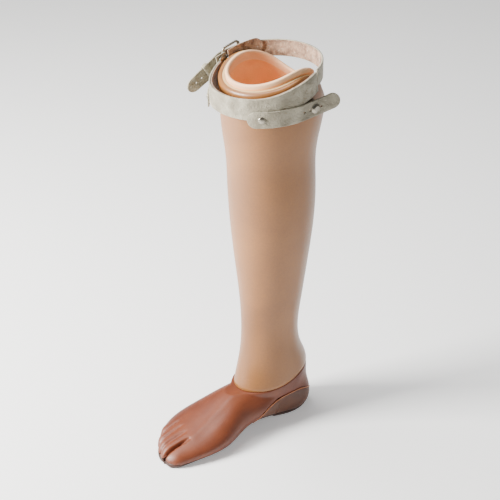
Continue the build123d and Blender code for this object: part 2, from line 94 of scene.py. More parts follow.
def rings_object(name, rings, loop=False):
    """Skin over a list of equal closed rings of points, capped at both ends or joined in a loop."""
    count, around = len(rings), len(rings[0])
    faces = []
    for i in range(count if loop else count - 1):
        k = (i + 1) % count
        for j in range(around):
            n = (j + 1) % around
            faces.append((i * around + j, i * around + n, k * around + n, k * around + j))
    if not loop:
        faces.append(tuple(range(around)))
        faces.append(tuple((count - 1) * around + j for j in range(around)))
    return mesh_object(name, [p for ring in rings for p in ring], faces)


def apply_modifiers(obj):
    """Turns the modified shape into the object's own mesh."""
    graph = bpy.context.evaluated_depsgraph_get()
    graph.update()
    mesh = bpy.data.meshes.new_from_object(obj.evaluated_get(graph))
    obj.modifiers.clear()
    obj.data = mesh


def cut_out(obj, cutter):
    """Cuts the cutter out of the object and removes the cutter."""
    modifier = obj.modifiers.new("cut", "BOOLEAN")
    modifier.operation = "DIFFERENCE"
    modifier.object = cutter
    modifier.solver = "EXACT"
    apply_modifiers(obj)
    bpy.data.objects.remove(cutter)


def rod(name, start, end, radius, sides=20):
    """Round rod between two points, in millimetres."""
    start, end = Vector(start), Vector(end)
    axis = (end - start).normalized()
    side = axis.orthogonal().normalized()
    other = axis.cross(side)
    rings = []
    for centre in (start, end):
        turns = [2 * math.pi * i / sides for i in range(sides)]
        rings.append([centre + radius * (math.cos(t) * side + math.sin(t) * other) for t in turns])
    return rings_object(name, rings)


def smooth_line(points, value):
    """Height at a position on the cubic through a few (position, height) points."""
    xs, ys = (np.array(v, float) for v in zip(*sorted(points)))
    slopes = np.gradient(ys, xs)
    i = np.clip(np.searchsorted(xs, value) - 1, 0, len(xs) - 2)
    width = xs[i + 1] - xs[i]
    t = (np.asarray(value, float) - xs[i]) / width
    h00, h10 = (1 + 2 * t) * (1 - t) ** 2, t * (1 - t) ** 2
    h01, h11 = t * t * (3 - 2 * t), t * t * (t - 1)
    return h00 * ys[i] + h10 * width * slopes[i] + h01 * ys[i + 1] + h11 * width * slopes[i + 1]


def arc_height(three, y):
    """Height at y of the arc through three (y, z) points."""
    (ax, ay), (bx, by), (cx, cy) = three
    d = 2 * (ax * (by - cy) + bx * (cy - ay) + cx * (ay - by))
    a2, b2, c2 = ax * ax + ay * ay, bx * bx + by * by, cx * cx + cy * cy
    ux = (a2 * (by - cy) + b2 * (cy - ay) + c2 * (ay - by)) / d
    uy = (a2 * (cx - bx) + b2 * (ax - cx) + c2 * (bx - ax)) / d
    radius = math.hypot(ax - ux, ay - uy)
    side = 1.0 if by > uy else -1.0
    return uy + side * np.sqrt(np.maximum(radius ** 2 - (np.asarray(y, float) - ux) ** 2, 0.0))


def tree_of(*nodes):
    """Ray-casting tree over CAD nodes, in millimetres."""
    points, faces = [], []
    for node in nodes:
        mesh = frame["nodes"][node].data
        base = len(points)
        points += [v.co / MM for v in mesh.vertices]
        faces += [tuple(base + i for i in p.vertices) for p in mesh.polygons]
    return BVHTree.FromPolygons(points, faces)


# ---- shank: outer laminate with its rolled brim ---------------------------------------------
AROUND = 168
ANGLES = np.radians(np.arange(AROUND) * 360.0 / AROUND)
AXIS_Y = 4.0                    # rays run to this line, x = 0


def radius_at(tree, angle, z):
    """Distance from the axis to a node's outer surface, or -1 where there is none."""
    way = Vector((math.sin(angle), -math.cos(angle), 0))
    centre = Vector((0, AXIS_Y, z))
    hit = tree.ray_cast(centre + way * 200, -way)[0]
    return (hit - centre).dot(way) if hit is not None else -1.0


def brim_heights(tree, low, high):
    """Top of a wall at each angle, found by halving, then smoothed."""
    heights = []
    for angle in ANGLES:
        a, b = low, high
        for _ in range(12):
            middle = (a + b) / 2
            if radius_at(tree, angle, middle) > 20:
                a = middle
            else:
                b = middle
        heights.append(a)
    return smooth_around(np.array(heights), 3)


def smooth_around(values, passes):
    """Evens out values given at each angle."""
    for _ in range(passes):
        values = (np.roll(values, 1, 0) + 2 * values + np.roll(values, -1, 0)) / 4
    return values


def point_at(angle, radius, z):
    """Point at a distance from the shank's axis."""
    return (radius * math.sin(angle), AXIS_Y - radius * math.cos(angle), z)


def surface(tree, low, high, rows):
    """Radii on a grid between two height lines, smoothed both ways."""
    share = np.linspace(0, 1, rows)[:, None]
    heights = low[None, :] * (1 - share) + high[None, :] * share
    radii = np.array([[radius_at(tree, a, z) for a, z in zip(ANGLES, row)] for row in heights])
    for _ in range(3):
        radii = smooth_around(radii.T, 1).T
        radii[1:-1] = (radii[:-2] + 2 * radii[1:-1] + radii[2:]) / 4
    return heights, radii


SHANK_WALL = 3.0
LIP_RISE = 4.5                          # height of the rolled brim
LIP_GAP = 0.5                           # from the liner to the brim
SOCKET_OUT = 3.4                        # from the liner to just outside the hard socket
STUD_SEAT_X, STUD_SEAT_R = 57.4, 9.2    # flat recess under each stud


def make_shank():
    """Outer surface from the CAD shell, a rolled brim, and a hidden inner face."""
    shell = tree_of("shank_shell")
    liner = tree_of("soft_liner")
    brim = brim_heights(shell, 420.0, 500.0)
    joint = arc_height(JOINT, AXIS_Y - 52 * np.cos(ANGLES)) + 0.35
    heights, radii = surface(shell, joint + 0.5, brim - LIP_RISE, 110)
    rings = []
    inner_foot = radii[0] - SHANK_WALL
    rings.append([point_at(a, r, z) for a, r, z in zip(ANGLES, inner_foot, joint)])
    rings.append([point_at(a, r - 0.7, z) for a, r, z in zip(ANGLES, radii[0], joint)])
    for row_z, row_r in zip(heights, radii):
        rings.append([point_at(a, r, z) for a, r, z in zip(ANGLES, row_r, row_z)])
    outer = radii[-1]
    inner = np.array([radius_at(liner, a, z - 3) for a, z in zip(ANGLES, brim)])
    inner = smooth_around(inner, 3) + LIP_GAP
    middle, half = (outer + inner) / 2, (outer - inner) / 2
    for step in np.linspace(0, math.pi, 13)[1:]:
        level = brim - LIP_RISE + LIP_RISE * math.sin(step)
        rings.append([point_at(a, m + h * math.cos(step), z)
                      for a, m, h, z in zip(ANGLES, middle, half, level)])
    for drop in (20, 45):
        level = brim - LIP_RISE - drop
        depth = np.array([radius_at(liner, a, z) for a, z in zip(ANGLES, level)]) + SOCKET_OUT
        rings.append([point_at(a, r, z) for a, r, z in zip(ANGLES, depth, level)])
    for share in (0.82, 0.6, 0.35, 0.12):
        row = int(share * (len(radii) - 1))
        rings.append([point_at(a, r - SHANK_WALL, z) for a, r, z in zip(ANGLES, radii[row], heights[row])])
    return rings_object("shank_skin", rings, loop=True)


# ---- liner ------------------------------------------------------------------------------------
LINER_WALL, LINER_RIM = 5.0, 2.6        # wall, and height of the rounded rim
LINER_ROWS = 60
EAR_DROP = 6.0                          # the outer ear stands lower than in CAD, as in the photo
OVAL = 2.5                              # how much deeper than wide the floor is, each way
FLOOR_OUTSIDE = ((284.2, 12.0), (284.2, 24.0), (290.0, 31.0), (297.0, 34.8))    # (z, half width)
FLOOR_INSIDE = ((297.0, 29.6), (290.4, 25.0), (289.2, 18.0), (289.2, 8.0))
BAR, SWELL = 5.5, 4.5                   # depth of the front bar and the rear swell, both guessed
SEAMS = (9.0, 17.0)                     # below the rim
# Rows of faces round the rim that take the paler look.
RIM_START = len(FLOOR_OUTSIDE) + LINER_ROWS - 2
RIM_ROWS = range(RIM_START, RIM_START + 14)


def make_liner():
    """Padded cup: outside from CAD, a rounded rim, and an inside with a bar, a swell and two seams."""
    outside = tree_of("soft_liner")
    brim = brim_heights(outside, 425.0, 505.0)
    brim = brim - EAR_DROP * np.exp(-((ANGLES - 1.5 * math.pi) / 0.75) ** 2)
    floor = np.full(AROUND, 304.0)
    heights, radii = surface(outside, floor, brim - LINER_RIM, LINER_ROWS)
    rings = []
    for z, r in FLOOR_OUTSIDE:
        rings.append([point_at(a, r + OVAL * math.cos(a) ** 2, z) for a in ANGLES])
    for row_z, row_r in zip(heights, radii):
        rings.append([point_at(a, r, z) for a, r, z in zip(ANGLES, row_r, row_z)])
    middle = radii[-1] - LINER_WALL / 2
    for step in np.linspace(0, math.pi, 11)[1:-1]:
        level = brim - LINER_RIM + LINER_RIM * math.sin(step)
        rings.append([point_at(a, m + LINER_WALL / 2 * math.cos(step), z)
                      for a, m, z in zip(ANGLES, middle, level)])
    for row_z, row_r in zip(heights[::-1], radii[::-1]):
        inner = row_r - LINER_WALL
        front = np.exp(-((ANGLES + math.pi) % (2 * math.pi) - math.pi) ** 2 / 0.18)
        behind = np.exp(-((ANGLES - math.pi) / 0.55) ** 2)
        inner = inner - BAR * front * np.exp(-((row_z - 437) / 9) ** 2)
        inner = inner - SWELL * behind * np.exp(-((row_z - 415) / 15) ** 2)
        below = brim - row_z
        for seam in SEAMS:
            inner = inner + 0.7 * np.exp(-((below - seam) / 0.9) ** 2)
        rings.append([point_at(a, r, z) for a, r, z in zip(ANGLES, inner, row_z)])
    for z, r in FLOOR_INSIDE:
        rings.append([point_at(a, r + OVAL * math.cos(a) ** 2, z) for a in ANGLES])
    return rings_object("liner_foam", rings)


def make_end_pad():
    """Flat crowned pad lying in the bottom of the liner."""
    rings = []
    (x0, y0, z0), (x1, y1, z1) = (tuple(c / MM for c in corner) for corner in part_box("distal_pad"))
    half, depth, thick = (x1 - x0) / 2, (y1 - y0) / 2, z1 - z0
    for share, level in ((0.3, 0.0), (0.62, 0.02), (0.80, 0.22), (0.92, 0.55), (0.97, 0.78), (0.95, 0.92),
                         (0.85, 0.985), (0.6, 1.0), (0.2, 1.0)):
        rings.append([(half * share * math.sin(a), (y0 + y1) / 2 - depth * share * math.cos(a),
                       z0 + thick * level) for a in ANGLES[::3]])
    return rings_object("end_pad", rings)


# ---- straps -----------------------------------------------------------------------------------
INNER_FACE = range(16, 26)              # faces of each station that look inward and take the suede


def strap(name, centres, normals, halves, thick):
    """Leather strip with eased edges. centres, outward normals and half widths along its length."""
    centres, normals = np.array(centres, float), np.array(normals, float)
    along = np.gradient(centres, axis=0)
    along /= np.linalg.norm(along, axis=1)[:, None]
    across = np.cross(along, normals)
    across /= np.linalg.norm(across, axis=1)[:, None]
    ease = min(0.7, thick * 0.32)
    shares = np.linspace(-1, 1, 11)

    def eased(turn):
        """Offsets across and through the strip at a turn round its edge."""
        c, s = math.cos(math.radians(turn)), math.sin(math.radians(turn))
        base = thick / 2 - ease if turn > 0 else -thick / 2 + ease if turn < 0 else 0
        return ease * c, base + ease * s

    rings = []
    for p, n, w, half in zip(centres, normals, across, halves):
        flat = max(half - ease, 0.02)
        ring = [p + w * flat * u + n * thick / 2 for u in shares]
        for over, up in (eased(turn) for turn in (60, 30, 0, -30, -60)):
            ring.append(p + w * (flat + over) + n * up)
        ring += [p + w * flat * u - n * thick / 2 for u in shares[::-1]]
        for over, up in (eased(turn) for turn in (-60, -30, 0, 30, 60)):
            ring.append(p - w * (flat + over) + n * up)
        rings.append(ring)
    obj = rings_object(name, rings)
    around = len(rings[0])
    for index, polygon in enumerate(obj.data.polygons):
        inner = index % around in INNER_FACE and index < around * (len(rings) - 1)
        polygon.material_index = 1 if inner else 0
    obj.data.materials.append(None)
    obj.data.materials.append(None)
    return obj


def ring_xy(angle, radius):
    """Plan position on the leather ring."""
    return radius * math.sin(angle), RING_Y - radius * math.cos(angle)


def round_ends(lengths, half, start=True):
    """Half widths along a strip whose far end, and start if asked for, is rounded."""
    total = lengths[-1]
    halves = []
    for s in lengths:
        gap = min(s if start else half, total - s, half)
        halves.append(half * math.sqrt(max(1 - (1 - gap / half) ** 2, 0.0004)))
    return halves


END_STEP, END_ZONE = 0.35, 10.0         # spacing of stations at a strip's ends, and how far that reaches


def resample(points, normals, step):
    """Even stations along a path, closer together near its ends."""
    points, normals = np.array(points, float), np.array(normals, float)
    lengths = np.concatenate([[0], np.cumsum(np.linalg.norm(np.diff(points, axis=0), axis=1))])
    total = lengths[-1]
    places, s = [0.0], 0.0
    while s < total:
        edge = min(s, total - s)
        s += END_STEP + (step - END_STEP) * min(edge / END_ZONE, 1.0)
        places.append(min(s, total))
    places = np.array(places)
    out = np.stack([np.interp(places, lengths, points[:, k]) for k in range(3)], 1)
    outn = np.stack([np.interp(places, lengths, normals[:, k]) for k in range(3)], 1)
    outn /= np.linalg.norm(outn, axis=1)[:, None]
    return out, outn, places


WANDER = 0.25                           # how far the ring strays from a true circle


def ring_strip(name, start, end, radius, thick, inset=0.0):
    """Part of the leather ring, between the band's two height lines."""
    centres, normals, halves = [], [], []
    for degrees in np.arange(start, end + 0.01, STATION):
        a = math.radians(degrees)
        r = radius + WANDER * math.sin(3 * a + radius)
        x, y = ring_xy(a, r)
        z_low, z_top = smooth_line(BAND_LOW, y), smooth_line(BAND_TOP, y)
        centres.append((x, y, (z_low + z_top) / 2))
        normals.append((math.sin(a), -math.cos(a), 0))
        halves.append((z_top - z_low) / 2 * 0.97 - inset)
    return strap(name, centres, normals, halves, thick)


TAB_HALF = 10.0
TAB_SLOPE = 5.8 / 84.3
TAB_FRONT_Y, TAB_FRONT_Z = -48.3, 437.0
# Past FREE_Y a tab springs outward by SPREAD and upward by its lift over FREE_RUN.
FREE_Y, FREE_RUN, SPREAD = 19.0, 27.0, 7.4
INNER_LIFT, OUTER_LIFT = 5.5, 3.0
# (y, z, radius): three adjusting holes and the one over the stud.
TAB_HOLES = ((-3.0, 440.1, 1.7), (5.5, 440.7, 1.7), (22.5, 441.9, 1.7), (STUD_Y, STUD_Z, 3.45))


def billet_path(side):
    """Centre line of a tab: along the ring, past the stud and springing outward."""
    points, normals = [], []
    for degrees in np.arange(31.5, 90.1, STATION):
        a = math.radians(degrees)
        x, y = ring_xy(a, BILLET_R)
        points.append((side * x, y))
        normals.append((side * math.sin(a), -math.cos(a), 0))
    for y in np.arange(RING_Y + 2, 46.5, 1.5):
        out = max(y - FREE_Y, 0.0)
        lean = 2 * SPREAD * out / FREE_RUN ** 2
        points.append((side * (BILLET_R + SPREAD * (out / FREE_RUN) ** 2), y))
        normals.append((side / math.hypot(1, lean), -lean / math.hypot(1, lean), 0))
    lift = INNER_LIFT if side > 0 else OUTER_LIFT
    heights = [TAB_FRONT_Z + TAB_SLOPE * (y - TAB_FRONT_Y) + lift * (max(y - FREE_Y, 0.0) / FREE_RUN) ** 2
               for _, y in points]
    return [(x, y, z) for (x, y), z in zip(points, heights)], normals


def make_billet(side, name):
    """One of the two tabs that run down to the studs."""
    points, normals = billet_path(side)
    points, normals, lengths = resample(points, normals, 1.6)
    piece = strap(name, points, normals, round_ends(lengths, TAB_HALF), LEATHER)
    for y, z, r in TAB_HOLES:
        cut_out(piece, rod("cutter", (side * 55, y, z), (side * 90, y, z), r))
    return piece


BUCKLE, TILT = (-68.7, 1.5, 471.0), math.radians(14)   # centre, and how far it leans in its plane
TAIL_CORNER, TAIL_TIP = (-73.9, -11.5), (-77.6, -59.5)  # plan of the strap past the buckle
TAIL_LINE = [(20, 473.5), (1.5, 470.6), (-9, 467.0), (-30, 455.0), (-59.5, 437.6)]      # (y, z)
TAIL_HOLES, TAIL_HOLE_R = ((-32.6, 453.4), (-40.2, 449.0), (-47.8, 444.5)), 1.3
STRAP_HALF, TAIL_LENGTH, TAIL_NARROWING = 10.6, 55, 0.84
SLOT_CENTRE, SLOT_REACH, SLOT_R = -9, 7.5, 2.5          # slot for the prong, along the strap


def buckle_point(along, across, out):
    """Point in the buckle's own plane: along the strap, across it, and out from the leg."""
    c, s = math.cos(TILT), math.sin(TILT)
    return (BUCKLE[0] - out, BUCKLE[1] + along * c + across * s, BUCKLE[2] + along * s - across * c)


def strap_path():
    """Closure strap: round the back of the ring, through the buckle, then down in front."""
    points, normals = [], []
    for degrees in np.arange(113.0, 250.1, STATION):
        a = math.radians(degrees)
        x, y = ring_xy(a, STRAP_R)
        points.append((x, y, (smooth_line(STRAP_LOW, y) + smooth_line(STRAP_TOP, y)) / 2))
        normals.append((math.sin(a), -math.cos(a), 0))
    x0, y0, z0 = points[-1]
    corner, tip = TAIL_CORNER, TAIL_TIP
    for share in np.linspace(0, 1, 60)[1:]:
        y = y0 + (tip[1] - y0) * share
        if y > corner[1]:
            x = x0 + (corner[0] - x0) * (y0 - y) / (y0 - corner[1])
        else:
            x = corner[0] + (tip[0] - corner[0]) * (corner[1] - y) / (corner[1] - tip[1])
        z = smooth_line(TAIL_LINE, y)
        points.append((x, y, z))
    points = np.array(points)
    tail = len(normals)
    for _ in range(14):
        for k in (0, 2):
            points[tail:-1, k] = (points[tail - 1:-2, k] + 2 * points[tail:-1, k] + points[tail + 1:, k]) / 4
    plan = np.gradient(points[:, :2], axis=0)
    for i in range(tail, len(points)):
        dx, dy = plan[i] / np.linalg.norm(plan[i])
        normals.append((dy, -dx, 0))
    return points, normals


def make_closure_strap():
    """Strap with holes in its tail and a slot for the prong."""
    points, normals = strap_path()
    points, normals, lengths = resample(points, normals, 1.7)
    halves = np.array(round_ends(lengths, STRAP_HALF, start=False))
    halves = halves * np.interp(lengths, [lengths[-1] - TAIL_LENGTH, lengths[-1]], [1.0, TAIL_NARROWING])
    piece = strap("strap_leather", points, normals, halves, LEATHER)
    # the tail shows smooth leather on both faces
    for polygon in piece.data.polygons:
        if polygon.center.x < -0.0715 and polygon.center.y < 0.004:
            polygon.material_index = 0
    for y, z in TAIL_HOLES:
        cut_out(piece, rod("cutter", (-60, y, z), (-90, y, z), TAIL_HOLE_R))
    slot = []
    for degrees in range(0, 360, 15):
        a = math.radians(degrees)
        reach = SLOT_CENTRE + math.copysign(SLOT_REACH, math.cos(a))
        slot.append((reach + SLOT_R * math.cos(a), SLOT_R * math.sin(a)))
    rings = [[buckle_point(u, v, out) for u, v in slot] for out in (-9, 18)]
    cut_out(piece, rings_object("cutter", rings))
    return piece


TONGUE_HALF = 9.6


def make_tongue():
    """Suede tongue behind the buckle, against the lining."""
    points, normals = [], []
    for degrees in np.arange(-86, -127, -STATION):
        a = math.radians(degrees)
        x, y = ring_xy(a, LINING_R - 0.3)
        points.append((x, y, 467 + (y + 24) * 0.25))
        normals.append((math.sin(a), -math.cos(a), 0))
    points, normals, lengths = resample(points, normals, 1.6)
    return strap("tongue_suede", points, normals, round_ends(lengths, TONGUE_HALF, start=False), SUEDE)


# ---- foot ---------------------------------------------------------------------------------------
# Grooves between the toes in plan: front end, back end, depth and width.
TOE_GROOVES = [
    ((15.0, -188), (20.5, -143), 9.0, 1.9), ((2.0, -184), (8.0, -138), 3.0, 2.0),
    ((-10.5, -178), (-5.0, -134), 2.8, 2.0), ((-23.0, -170), (-17.0, -128), 2.6, 2.0),
]
# Rounded toe tips in plan: x, y and size.
TOE_TIPS = [(30, -172, 9), (9, -172, 7), (-4, -168, 6), (-17, -162, 6), (-30, -150, 6)]


def segment_distance(px, py, start, end):
    """Distance to a segment in the plane, and how far along it the nearest point is."""
    (ax, ay), (bx, by) = start, end
    dx, dy = bx - ax, by - ay
    t = np.clip(((px - ax) * dx + (py - ay) * dy) / (dx * dx + dy * dy), 0, 1)
    return np.hypot(px - ax - t * dx, py - ay - t * dy), t


def shape_underside(points):
    """Rounds the lower edges in, raises the inner arch and brings the toe tips down to the floor."""
    x, y, z = points.T.copy()
    centre = np.interp(y, [-180, -136, -90, -15, 60], [15, 4.5, 3.5, 5, 7])
    low = np.clip(1 - z / 20, 0, 1) ** 2
    pinch = np.interp(y, [-182, -150, -100, -60, -20, 20, 56], [0.05, 0.06, 0.07, 0.24, 0.26, 0.20, 0.20])
    x = centre + (x - centre) * (1 - pinch * low)
    y = y - np.clip(y - 25, 0, None) * 0.20 * low
    arch = np.exp(-((y + 42) / 30) ** 2) * np.clip((x + 12) / 40, 0, 1)
    z = z + 8.5 * arch * np.clip(1 - z / 42, 0, 1)
    spring = np.clip((-136 - y) / 46, 0, 1) ** 2 * 4.6
    z = np.maximum(z - spring * np.clip(1 - z / 45, 0, 1), 0.0)
    return np.stack([x, y, z], 1)


WAIST_Y = np.arange(-62.0, 42.0, 2.0)
WAIST_Z = np.arange(1.0, 47.0, 2.0)


def waist_ratios():
    """How far each side moves, as a ratio of its half width, to even out heel and forefoot."""
    tree = tree_of("foot_body", "heel_cushion", "sole")
    ratios = []
    for side in (1, -1):
        widths = np.full((len(WAIST_Z), len(WAIST_Y)), np.nan)
        for i, z in enumerate(WAIST_Z):
            for j, y in enumerate(WAIST_Y):
                hit = tree.ray_cast(Vector((side * 90, y, z)), Vector((-side, 0, 0)))[0]
                if hit is not None and side * hit.x > 8:
                    widths[i, j] = side * hit.x
        row = np.nanmean(widths, axis=1)
        widths = np.where(np.isnan(widths), row[:, None], widths)
        level = widths.copy()
        for _ in range(60):
            level[:, 1:-1] = (level[:, :-2] + 2 * level[:, 1:-1] + level[:, 2:]) / 4
        fade = np.clip(np.minimum(WAIST_Y - WAIST_Y[0], WAIST_Y[-1] - WAIST_Y) / 16, 0, 1)
        high = np.clip((WAIST_Z[-1] - WAIST_Z) / 10, 0, 1)
        ratios.append(1 + (level / widths - 1) * fade * high[:, None])
    return ratios


def look_up(grid, y, z):
    """Bilinear reading of a waist grid."""
    u = np.clip((y - WAIST_Y[0]) / 2, 0, len(WAIST_Y) - 1.001)
    v = np.clip((z - WAIST_Z[0]) / 2, 0, len(WAIST_Z) - 1.001)
    j, i = u.astype(int), v.astype(int)
    du, dv = u - j, v - i
    low = grid[i, j] * (1 - du) + grid[i, j + 1] * du
    top = grid[i + 1, j] * (1 - du) + grid[i + 1, j + 1] * du
    return low * (1 - dv) + top * dv


WAIST = waist_ratios()


def blend_waist(points, edges):
    """Evens out the fold where heel and forefoot meet, edge by edge."""
    weight = np.exp(-((points[:, 1] + 8) / 22) ** 2) * np.clip((44 - points[:, 2]) / 8, 0, 1)
    weight *= np.clip((points[:, 2] - 1) / 4, 0, 1)
    ratio = np.where(points[:, 0] > 0, look_up(WAIST[0], points[:, 1], points[:, 2]),
                     look_up(WAIST[1], points[:, 1], points[:, 2]))
    points = points * np.stack([ratio, np.ones(len(points)), np.ones(len(points))], 1)
    share = np.zeros(len(points))
    np.add.at(share, edges.ravel(), 1)
    for _ in range(30):
        total = np.zeros_like(points)
        np.add.at(total, edges[:, 0], points[edges[:, 1]])
        np.add.at(total, edges[:, 1], points[edges[:, 0]])
        points = points + (total / share[:, None] - points) * (0.6 * weight)[:, None] * (1, 0.25, 0.25)
    return points


def make_foot_part(name, node, voxel):
    """A CAD foot part remeshed evenly and shaped with toes and soft hollows."""
    source = frame["nodes"][node].data
    obj = mesh_object(name, [v.co / MM for v in source.vertices],
                      [tuple(p.vertices) for p in source.polygons])
    modifier = obj.modifiers.new("even", "REMESH")
    modifier.mode = "VOXEL"
    modifier.voxel_size = voxel * MM
    smoother = obj.modifiers.new("soft", "SMOOTH")
    smoother.factor, smoother.iterations = 0.5, 3
    apply_modifiers(obj)
    mesh = obj.data
    count = len(mesh.vertices)
    points, normals = np.empty(count * 3), np.empty(count * 3)
    mesh.vertices.foreach_get("co", points)
    mesh.vertices.foreach_get("normal", normals)
    points, normals = points.reshape(-1, 3) / MM, normals.reshape(-1, 3)
    edges = np.empty(len(mesh.edges) * 2, int)
    mesh.edges.foreach_get("vertices", edges)
    points = blend_waist(points, edges.reshape(-1, 2))
    x, y, z = points.T
    upper = np.clip((z - 4.5) / 4, 0, 1)
    move = np.zeros(count)
    for start, end, depth, width in TOE_GROOVES:
        distance, along = segment_distance(x, y, start, end)
        fade = np.clip((1 - along) / 0.35, 0, 1)
        move -= upper * depth * fade * np.exp(-(distance / width) ** 2)
    for tip_x, tip_y, size in TOE_TIPS:
        near = np.exp(-((x - tip_x) ** 2 + (y - tip_y) ** 2) / size ** 2)
        move += 1.1 * upper * near
    # hollows beside the heel cord and under the inner ankle, tendon ridge to the big toe
    move -= 1.3 * np.exp(-((y - 34) / 13) ** 2 - ((z - 44) / 10) ** 2) * np.clip(np.abs(x) / 18, 0, 1)
    ridge, _ = segment_distance(x, y, (10, -60), (22, -140))
    move += 0.7 * np.exp(-(ridge / 5) ** 2) * np.clip((z - 15) / 8, 0, 1)
    move += 1.0 * np.exp(-((x - 33) / 9) ** 2 - ((y + 112) / 16) ** 2)
    outward = normals.copy()
    outward[:, 2] *= np.where(np.abs(move) > 1.5, 0.6, 1.0)
    points = points + outward * move[:, None]
    points = shape_underside(points)
    mesh.vertices.foreach_set("co", (points * MM).ravel())
    mesh.update()
    mesh.shade_smooth()
    return obj


def tube(name, centres, radius, closed=False, sides=12):
    """Round wire along points in millimetres."""
    centres = np.array(centres, float)
    along = (np.roll(centres, -1, 0) - np.roll(centres, 1, 0)) if closed else np.gradient(centres, axis=0)
    along /= np.linalg.norm(along, axis=1)[:, None]
    side = np.cross(along[0], (0.31, 0.23, 0.92))
    rings = []
    for p, t in zip(centres, along):
        side = side - t * np.dot(side, t)
        side /= np.linalg.norm(side)
        other = np.cross(t, side)
        turns = np.linspace(0, 2 * math.pi, sides, endpoint=False)
        rings.append([p + radius * (math.cos(a) * side + math.sin(a) * other) for a in turns])
    return rings_object(name, rings, loop=closed)


def make_moulding_line(side):
    """Raised flash line along the edge of the heel cushion, on one side of the foot."""
    tree = tree_of("foot_body", "heel_cushion", "sole")
    points = []
    for y in np.arange(52, -58, -2.0):
        z = float(arc_height(CUSHION, y)) + 0.3
        hit = tree.ray_cast(Vector((side * 90, y, z)), Vector((-side, 0, 0)))[0]
        if hit is not None and side * hit.x > 10:
            points.append((hit.x, y, z))
    points = np.array(points)
    ratio = look_up(WAIST[0 if side > 0 else 1], points[:, 1], points[:, 2])
    points[:, 0] *= ratio
    points = shape_underside(points)
    for _ in range(6):
        points[1:-1] = (points[:-2] + 2 * points[1:-1] + points[2:]) / 4
    points[:, 0] += side * 0.15
    return tube(("medial" if side > 0 else "lateral") + "_heel_flash", points, 0.7, sides=10)


# ---- hardware -----------------------------------------------------------------------------------
def lathe(name, profile, centre, direction, sides=32):
    """Turned part: (distance along the axis, radius) pairs from a centre point, in millimetres."""
    axis = Vector(direction).normalized()
    side = axis.orthogonal().normalized()
    other = axis.cross(side)
    rings = []
    for along, radius in profile:
        turns = [2 * math.pi * i / sides for i in range(sides)]
        rings.append([Vector(centre) + axis * along + radius * (math.cos(t) * side + math.sin(t) * other)
                      for t in turns])
    return rings_object(name, rings)


def dome(radius, height, steps=9):
    """Profile of a dome on a short rim."""
    return [(height * math.sin(t), max(radius * math.cos(t), 0.05))
            for t in np.linspace(0, math.pi / 2, steps)]


def make_billet_rivet(side, name):
    """Rivet through a tab and the ring, flat inside and domed outside."""
    angle = math.radians(46)
    way = (side * math.sin(angle), -math.cos(angle), 0)
    x, y = ring_xy(angle, 0)
    centre = (x, y, 437.0)
    profile = [(62.7, 0.05), (62.7, 4.2), (63.6, 4.2), (63.6, 2.0), (69.3, 2.0), (69.3, 4.2)]
    profile += [(69.4 + a, r) for a, r in dome(4.2, 1.6)]
    return lathe(name, profile, centre, way)


def make_keeper():
    """Leather loop round the strap's tail: a rounded strip bent round a rounded rectangle."""
    centre, run = np.array((-75.3, -30.0, 454.2)), np.array((0, -0.84, -0.542))
    out, across = np.array((-1.0, 0, 0)), np.array((0, -0.542, 0.84))
    half_out, half_wide, corner = 2.55, 12.0, 1.6
    rings = []
    for cx, cy, start in ((1, 1, 0), (-1, 1, 90), (-1, -1, 180), (1, -1, 270)):
        for degrees in np.linspace(start, start + 90, 7):
            a = math.radians(degrees)
            way = out * math.cos(a) + across * math.sin(a)
            at = centre + out * (cx * (half_out - corner)) + across * (cy * (half_wide - corner))
            at = at + way * corner
            ring = []
            for u, v in ((-3.9, -0.3), (-3.6, -0.65), (3.6, -0.65), (3.9, -0.3), (3.9, 0.3), (3.6, 0.65),
                         (0, 0.8), (-3.6, 0.65), (-3.9, 0.3)):
                ring.append(at + run * u + way * v)
            rings.append(ring)
    return rings_object("keeper_leather", rings, loop=True)


def make_buckle_frame():
    """Round wire bent to a rectangle with rounded corners."""
    half_long, half_wide, corner = 11.5, 14.0, 3.5
    points = []
    for cx, cy, start in ((1, 1, 0), (-1, 1, 90), (-1, -1, 180), (1, -1, 270)):
        for degrees in np.linspace(start, start + 90, 8):
            a = math.radians(degrees)
            points.append((cx * (half_long - corner) + corner * math.cos(a),
                           cy * (half_wide - corner) + corner * math.sin(a)))
    dense = []
    for i, (a, b) in enumerate(points):
        c, d = points[(i + 1) % len(points)]
        steps = max(int(math.hypot(c - a, d - b) / 2), 1)
        dense += [(a + (c - a) * k / steps, b + (d - b) * k / steps) for k in range(steps)]
    return tube("buckle_wire", [buckle_point(a, b, 0) for a, b in dense], 1.5, closed=True, sides=16)


# ---- materials ----------------------------------------------------------------------------------
def linear(colour):
    """Linear colour from 0-255 values."""
    return tuple(((c / 255 + 0.055) / 1.055) ** 2.4 if c > 10 else c / 255 / 12.92 for c in colour) + (1,)


